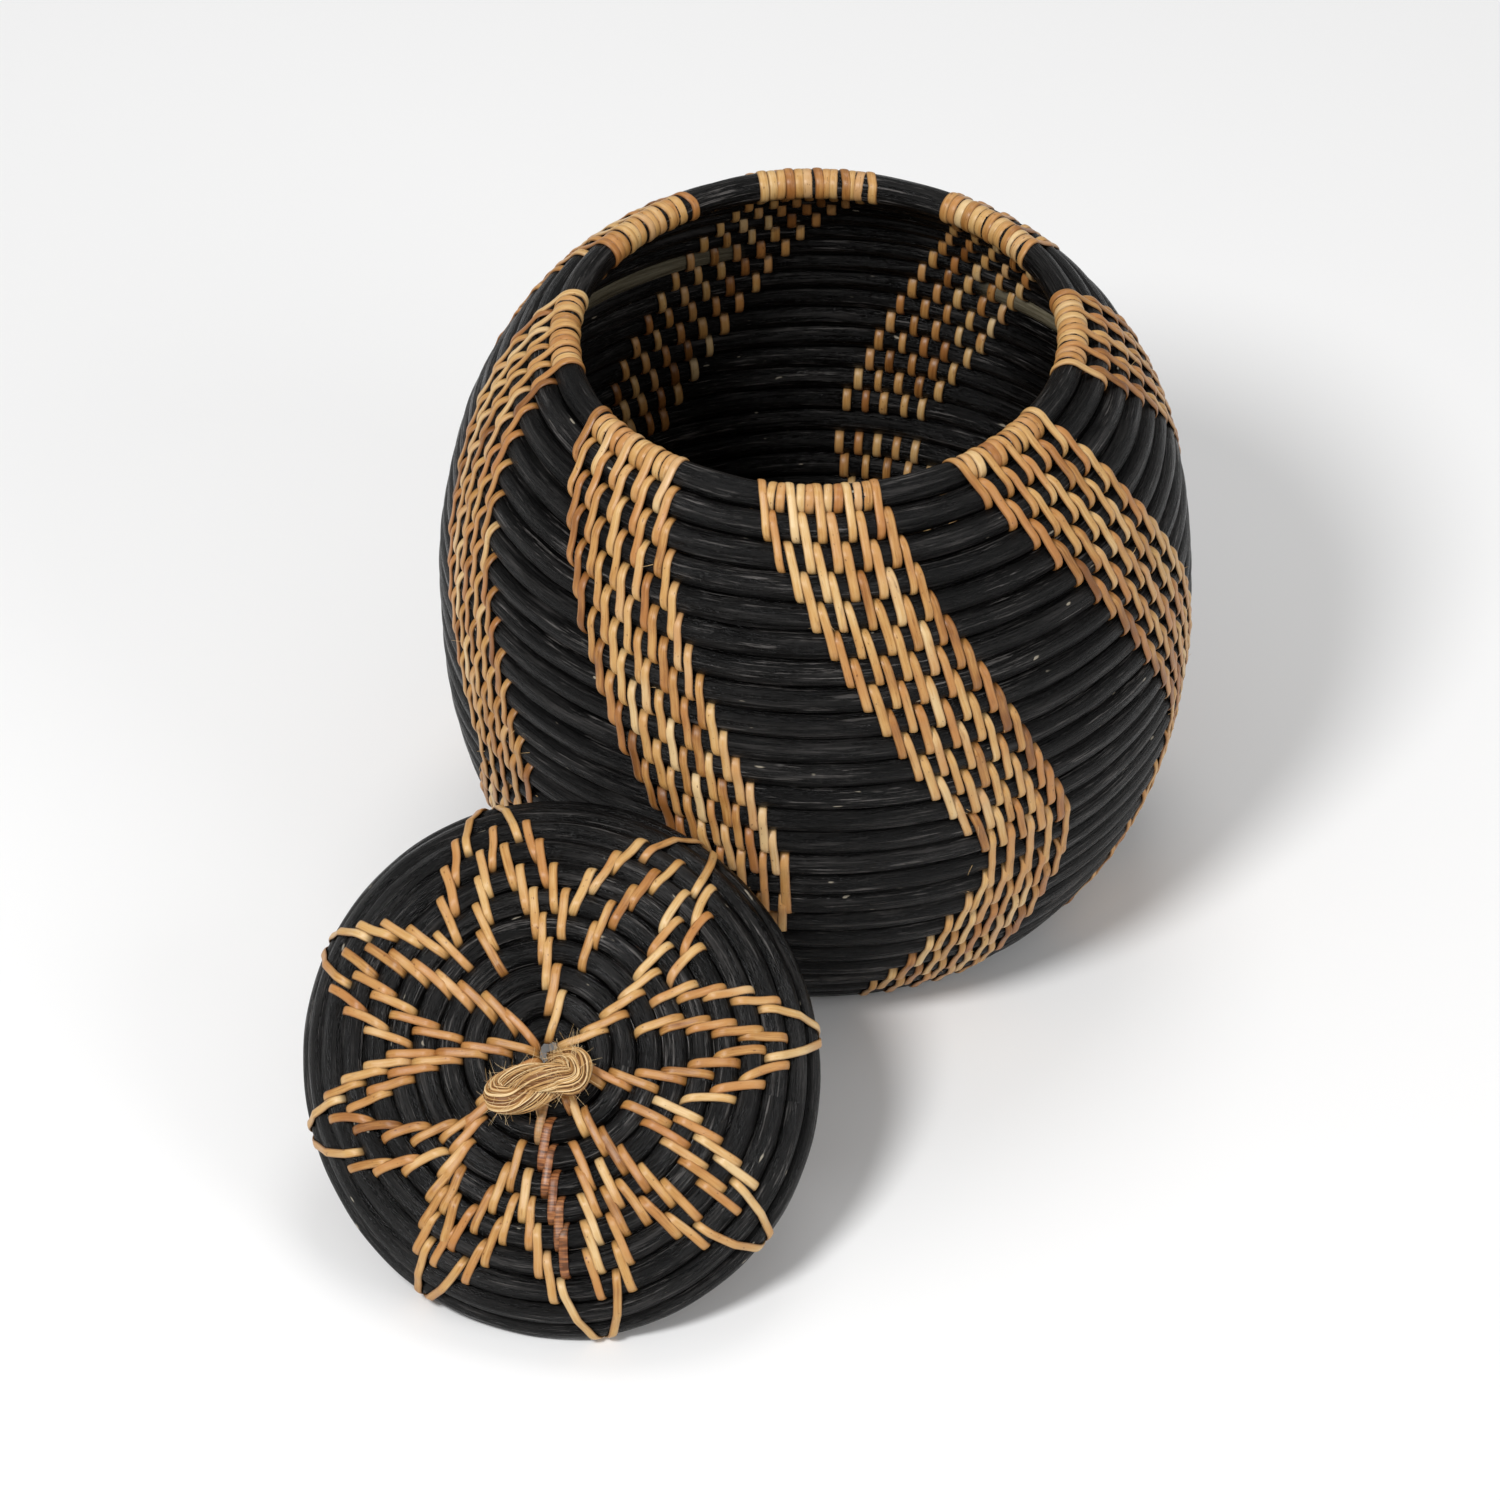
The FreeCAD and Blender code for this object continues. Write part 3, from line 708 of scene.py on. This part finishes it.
def long_stitch(batch, begin, tip, tone):
    """From the petal's edge over the last three rods to its point at the lid's edge, bowed outward."""
    azimuth = math.radians(begin)
    centres = [lid.centre(row, azimuth) for row in LONG_ROWS]
    rods = [lid.rod[row] * CANE_ON_LID for row in LONG_ROWS]
    path, normals = rod_path(centres, rods, STITCH_START, LONG_END, ROD_GAP + 0.5 * MM)
    steps = np.concatenate([[0], np.cumsum(np.linalg.norm(np.diff(path, axis=0), axis=1))])
    share = np.clip(steps / (steps[-1] - math.radians(LONG_END - LONG_MEET) * rods[-1]), 0, 1)
    radius = np.interp(share, (0, 1), (centres[0][0], centres[-1][0]))
    sideways = math.radians(tip - begin) * radius * share ** 1.25
    strip_rows(batch, lid, azimuth, path, normals, sideways, CANE_WIDTH * 0.95, tone, rng.uniform(0, 90),
               begin=rng.uniform(0, 3))


def lid_petal(index):
    """Two lines up the petal's middle, its two edges from the roots, and two long stitches to its point."""
    stem, left_end, right_start, right_end, root, left_long, right_long, tip = PETALS[index]
    next_root = PETALS[(index + 1) % BANDS][4] + (360 if index == BANDS - 1 else 0)
    tones = np.clip(rng.normal((0.42, 0.40, 0.60, 0.56), 0.12), 0.1, 0.85)
    bark = 0.9 if index == BARK_PETAL else 0.0
    stem_step = (left_end - stem) / 6
    batch = Batch()
    petal_line(batch, 1, 2, stem, stem + stem_step, 1, tones[0], bark * 0.6)
    petal_line(batch, 3, 7, stem + 2 * stem_step, left_end, 1, tones[0], bark)
    petal_line(batch, 4, 8, right_start, right_end, -1, tones[1])
    petal_line(batch, FIRST_EDGE_ROW, FIRST_EDGE_ROW, root, root, 0, tones[2])
    left_step = (left_long - root) / 4
    right_step = (right_long - next_root) / 4
    petal_line(batch, 6, 8, root + left_step, left_long - left_step, 1, tones[2])
    petal_line(batch, 6, 8, next_root + right_step, right_long - right_step, -1, tones[3])
    long_stitch(batch, left_long, tip - 0.3, tones[2] + 0.08)
    long_stitch(batch, right_long, tip + 0.3, tones[3] + 0.08)
    return batch


for index in range(BANDS):
    petal = lid_petal(index).build(f"cane_petal_{index + 1}", CANE)
    finished(petal, "lid", "split_cane", f"lid_petal_{index + 1}")


# ---------------------------------------------------------------- the base

class Base(Coil):
    """The base's rings, all in one CAD node, so their radii follow from the rod's pitch."""

    def __init__(self, pitch, rings):
        super().__init__({}, (0, 0, 0), (1, 0, 0), (0, 0, -1), 0.2 * MM)
        low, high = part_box("base_coil")
        rod = (high.z - low.z) / 2
        for number in range(1, rings + 1):
            self.radius[number] = high.x - rod - (number - 1) * pitch
            self.rod[number] = rod
            self.height[number] = -(high.z + low.z) / 2
        self.radius[rings + 1] = rod * 1.02
        self.rod[rings + 1] = rod
        self.height[rings + 1] = -(high.z + low.z) / 2


BASE_RINGS = 8
BASE_PITCH = 11 * MM
BASE_DRIFT = 3.9 * MM
base = Base(BASE_PITCH, BASE_RINGS)
batch = Batch()
for number in base.radius:
    rod_rows(batch, base, number, 70.0 + number, BASE_FATTER)
finished(batch.build("rod_base_coil", DYED), "basket", "dyed_rattan", "base_coil")


def base_band(middle):
    """Stitches under the base, with fewer strips on the smaller rings. Seen from below, the base's
    azimuth runs the other way."""
    batch = Batch()
    for ring in range(1, BASE_RINGS):
        radius = base.radius[ring + 1]
        room = TAU * radius / BANDS
        count = min(STRIPS, int(room / (2.3 * CANE_WIDTH)))
        for strip in range(count):
            azimuth = -(middle + (strip - (count - 1) / 2) * room / count / radius)
            centres = [base.centre(ring, azimuth), base.centre(ring + 1, azimuth)]
            rods = [base.rod[ring], base.rod[ring + 1]]
            path, normals = rod_path(centres, rods, STITCH_START, LID_STITCH_END, ROD_GAP)
            sideways = sideways_run(path, 0.0, 0.0, rng.normal(0, 0.5) * MM, 1.7)
            strip_rows(batch, base, azimuth, path, normals, sideways, CANE_WIDTH, rng.normal(0.5, 0.14),
                       rng.uniform(0, 90), begin=rng.uniform(0, 3))
        middle -= BASE_DRIFT / radius
    return batch


for band in range(BANDS):
    part = base_band(FIRST_BAND + TAU * band / BANDS)
    obj = part.build(f"cane_base_{band + 1}", CANE)
    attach(obj, "basket")


# ---------------------------------------------------------------- rope handle

ROPE_X = -math.radians(65)
flop = math.cos(ROPE_X) * LID_X + math.sin(ROPE_X) * np.cross(LID_N, LID_X)
span = np.cross(LID_N, flop)
ORIGIN = PIVOT - LID_N * PIVOT_HEIGHT


def in_handle(points):
    """World points from millimetres towards the flop, along the rope's span and out of the lid."""
    points = np.asarray(points, float) * MM
    return ORIGIN + points[..., :1] * flop + points[..., 1:2] * span + points[..., 2:] * LID_N


def smooth_curve(points, count):
    """A Catmull-Rom curve through points, evenly spaced in length."""
    points = np.asarray(points, float)
    padded = np.concatenate([[2 * points[0] - points[1]], points, [2 * points[-1] - points[-2]]])
    fine = []
    for a, b, c, d in zip(padded, padded[1:], padded[2:], padded[3:]):
        t = np.linspace(0, 1, 24, endpoint=False)[:, None]
        fine.append(0.5 * (2 * b + (c - a) * t + (2 * a - 5 * b + 4 * c - d) * t ** 2
                           + (3 * b - a - 3 * c + d) * t ** 3))
    fine = np.concatenate(fine + [points[-1:]])
    length = np.concatenate([[0], np.cumsum(np.linalg.norm(np.diff(fine, axis=0), axis=1))])
    at = np.linspace(0, length[-1], count)
    return np.stack([np.interp(at, length, fine[:, k]) for k in range(3)], axis=1)


def frames_along(path):
    """Two directions across a path that turn as little as they can."""
    ahead = np.gradient(path, axis=0)
    ahead /= np.linalg.norm(ahead, axis=1)[:, None]
    first = unit(np.cross(ahead[0], (0.3, 0.5, 0.8)))
    across = [first]
    for direction in ahead[1:]:
        carried = across[-1] - direction * (across[-1] @ direction)
        across.append(unit(carried))
    across = np.array(across)
    return across, np.cross(ahead, across)


def circles(across, other, angle):
    """Unit circles of points, one at each step of a path, in its two directions."""
    return (np.cos(angle)[None, :, None] * across[:, None, :]
            + np.sin(angle)[None, :, None] * other[:, None, :])


def tube(batch, path, radius, sides, tone, seed):
    across, other = frames_along(path)
    angle = np.linspace(0, TAU, sides, endpoint=False)
    radius = np.broadcast_to(np.asarray(radius, float), len(path))[:, None, None]
    points = path[:, None, :] + circles(across, other, angle) * radius
    steps = np.linalg.norm(np.diff(path, axis=0), axis=1)
    length = np.concatenate([[0], np.cumsum(steps)])
    around = angle[None, :] * radius[:, :, 0]
    uv = np.stack(np.broadcast_arrays(length[:, None], around), axis=-1)
    batch.grid(points, uv, False, True, tone=tone, seed=seed)


def ply(batch, path, radius, fibres, turns, seed):
    """One ply: a core painted dark as shade in the gaps between fibres, under fibres that wind round it in
    bundles, each of its own thickness and tone.
    """
    across, other = frames_along(path)
    count = len(path)
    taper = np.broadcast_to(np.asarray(radius, float), count)
    # the core's dark colour is painted shade, seen in the gaps between the fibres
    tube(batch, path, taper * 0.90, 16, 0.05, seed)
    share = np.linspace(0, 1, count)
    for number in range(fibres):
        bundle = number // 4
        wander = (0.30 * np.sin(TAU * share * 1.3 + bundle)
                  + 0.10 * np.sin(TAU * share * 3.1 + 1.7 * number))
        angle = TAU * (number / fibres + turns * share) + wander
        depth = taper * (0.96 + 0.06 * np.sin(bundle * 2.4 + 9 * share)
                         + 0.03 * np.sin(number * 1.9 + 23 * share))
        line = path + depth[:, None] * (np.cos(angle)[:, None] * across + np.sin(angle)[:, None] * other)
        thickness = taper * TAU / fibres * rng.uniform(0.40, 0.75)
        tone = 0.50 + 0.12 * math.sin(bundle * 1.9) + rng.normal(0, 0.22)
        tube(batch, line, thickness, 5, min(max(tone, 0.0), 1.0), rng.uniform(0, 90))


def stray(batch, start, direction, length, curl):
    """A loose fibre that springs out of the rope."""
    share = np.linspace(0, 1, 14)[:, None]
    side = unit(np.cross(direction, rng.normal(0, 1, 3)))
    line = start + direction * share * length + side * curl * share ** 2 * length
    tube(batch, line, (0.085 - 0.05 * share[:, 0]) * MM, 4, rng.uniform(0.4, 0.95), rng.uniform(0, 90))


HANDLE_AXIS = (13.0, 14.2)  # where the rope's long axis runs: towards the flop and out of the lid
LEG_OFFSET = 3.5            # from that axis to the middle of each leg
LEG_RADIUS = 5.2
LEG_NEAR, LEG_FAR = 8.0, -18.6
ROPE_STRAYS = 320
KNOT_STRAYS = 60
SHOWN_STEPS = (25, 148)     # of the rope's path, between the ends that go down the hole


def twisted_leg(y_from, y_to, phase_from, phase_to, count=6):
    """Points of one leg winding about the handle's long axis. At phase 0 it lies on top, at 90 uphill."""
    share = np.linspace(0, 1, count)
    angle = np.radians(phase_from + (phase_to - phase_from) * share)
    towards, out = HANDLE_AXIS
    return np.stack([towards - LEG_OFFSET * np.sin(angle), y_from + (y_to - y_from) * share,
                     out + 0.9 * LEG_OFFSET * np.cos(angle)], axis=1)


def handle_path():
    """The doubled rope as one line: up from the hole, along to the far end, and back down."""
    going = twisted_leg(LEG_NEAR, LEG_FAR, -40, 122)
    back = twisted_leg(LEG_FAR, LEG_NEAR - 1.0, 302, 140)
    up = np.array([(2.4, 1.6, -9.0), (2.8, 2.0, -1.0), (4.5, 6.0, 6.5), (9.0, 10.5, 12.0)])
    towards, out = HANDLE_AXIS
    fold = np.array([(towards, LEG_FAR - 2.6, out)])
    down = np.array([(7.0, 6.0, 9.0), (3.6, 1.6, 3.5), (1.2, 0.4, -2.0), (0.8, 0.2, -9.0)])
    return in_handle(smooth_curve(np.concatenate([up, going, fold, back, down]), 170))


def rope_handle():
    batch = Batch()
    path = handle_path()
    height = (path - ORIGIN) @ LID_N
    radius = np.interp(height, (-4 * MM, 3 * MM, 10 * MM), (1.7 * MM, 2.7 * MM, LEG_RADIUS * MM))
    ply(batch, path, radius, fibres=90, turns=-2.0, seed=5.0)
    for _ in range(ROPE_STRAYS):
        at = rng.integers(*SHOWN_STEPS)
        away = unit(rng.normal(0, 1, 3) + 0.9 * LID_N)
        along = unit(path[at + 1] - path[at]) * rng.choice((-1, 1))
        start = path[at] + away * (LEG_RADIUS - 0.4) * MM
        direction = unit(away * 0.5 + along + rng.normal(0, 0.5, 3))
        stray(batch, start, direction, rng.uniform(3.0, 10.0) * MM, rng.uniform(-1, 1))
    return batch


def handle_knot():
    """A small knot that holds the rope under the lid, with the frayed ends of its plies."""
    t = np.linspace(0, TAU, 17)
    knot = np.stack([3.0 + 1.5 * (np.sin(t) + 2 * np.sin(2 * t)),
                     1.0 + 1.5 * (np.cos(t) - 2 * np.cos(2 * t)),
                     -12.5 - 2.6 * np.sin(3 * t)], axis=1)
    batch = Batch()
    path = in_handle(smooth_curve(knot, 120))
    ply(batch, path, 2.7 * MM, fibres=34, turns=4.0, seed=11.0)
    for side in (-1, 1):
        towards, along = 1.6 + 0.8 * side, 0.9 + 0.7 * side
        neck = in_handle(smooth_curve([(towards, along, 0.5), (towards, along, -6),
                                       (2.5 + 1.6 * side, 1.0, -11)], 30))
        ply(batch, neck, 1.7 * MM, fibres=22, turns=0.7, seed=13.0)
    for _ in range(KNOT_STRAYS):
        start = in_handle((rng.normal(0, 2.0), rng.normal(0, 2.0), -14.5))
        stray(batch, start, unit(-LID_N + rng.normal(0, 0.5, 3)), rng.uniform(3, 7) * MM, rng.uniform(-1, 1))
    return batch


finished(handle_knot().build("rope_knot", FIBRE), "lid", "rope_fibre", "handle_knot")
handle = rope_handle().build("rope_handle_loop", FIBRE)
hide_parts("handle_rope")
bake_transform(handle)


# ---------------------------------------------------------------- loose fibres of cane

WHISKERS = 150
WHISKER_ROOT = 5.6 * MM     # from a rod's centre, near the underside of the cane


def whiskers():
    """Fine fibres frayed from the cut edges of the strips, at the rim and on the wall."""
    batch = Batch()
    for _ in range(WHISKERS):
        row = rng.integers(1, WALL_ROWS)
        band = rng.integers(0, BANDS)
        middle = band_middle(FIRST_BAND + TAU * band / BANDS)
        azimuth = middle[row] + rng.uniform(-26, 26) * MM / wall.radius[row]
        radius, height = wall.centre(row, azimuth)
        slope = rng.uniform(-0.6, 0.6)
        out, up = WHISKER_ROOT * math.cos(slope), WHISKER_ROOT * math.sin(slope)
        start = wall.place(azimuth, radius + out, height + up)
        outward = unit(start - wall.place(azimuth, radius, height))
        direction = unit(outward * 0.35 + wall.turn(azimuth) * rng.normal(0, 1) + rng.normal(0, 0.5, 3))
        share = np.linspace(0, 1, 10)[:, None]
        length = rng.uniform(1.5, 5.5) * MM
        line = (start + direction * share * length
                + outward * 0.5 * share ** 2 * length * rng.uniform(-0.8, 0.8))
        across, other = frames_along(line)
        angle = np.linspace(0, TAU, 4, endpoint=False)
        width = (0.12 - 0.08 * share)[:, :, None] * MM
        points = line[:, None, :] + circles(across, other, angle) * width
        uv = np.stack(np.broadcast_arrays(share * length, angle[None, :] * 0.1 * MM), axis=-1)
        batch.grid(points, uv, False, True, tone=0.9, seed=1.0, bark=0.0, deep=0.0, side=0.0)
    return batch


loose = whiskers().build("cane_whiskers", CANE)
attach(loose, "basket")


# ---------------------------------------------------------------- floor, light and camera

def floor():
    bpy.ops.mesh.primitive_plane_add(size=12, location=(0, 0, -0.0002))
    plane = bpy.context.object
    plane.name = "studio_floor"
    s = Shader("studio_floor", 0.9, 0.1)
    s.surface.inputs["Base Color"].default_value = (0.86, 0.86, 0.86, 1)
    plane.data.materials.append(s.material)


def area_light(name, place, target, size, power):
    data = bpy.data.lights.new(name, "AREA")
    data.shape = "DISK"
    data.size = size
    data.energy = power
    obj = bpy.data.objects.new(name, data)
    bpy.context.scene.collection.objects.link(obj)
    obj.location = place
    aim = np.array(target) - np.array(place)
    obj.rotation_euler = Vector(aim).to_track_quat("-Z", "Y").to_euler()


floor()
area_light("key", (-0.9, -1.3, 2.0), (0, -0.05, 0.12), 0.6, 42)
area_light("fill", (1.6, -1.2, 1.3), (0, 0, 0.1), 1.2, 12)
area_light("top", (0.1, 0.9, 2.1), (0, 0, 0.15), 1.0, 10)

world = bpy.data.worlds.new("studio")
world.use_nodes = True
world.node_tree.nodes["Background"].inputs["Color"].default_value = (1, 1, 1, 1)
world.node_tree.nodes["Background"].inputs["Strength"].default_value = 0.40
bpy.context.scene.world = world
bpy.context.scene.view_settings.view_transform = "Standard"

camera_data = bpy.data.cameras.new("camera")
camera_data.lens = 174.84
camera_data.sensor_width = 36
camera = bpy.data.objects.new("camera", camera_data)
bpy.context.scene.collection.objects.link(camera)
camera.location = (-0.0260, -2.1933, 1.9785)
camera.rotation_euler = (math.radians(48.46), 0, 0)
bpy.context.scene.camera = camera
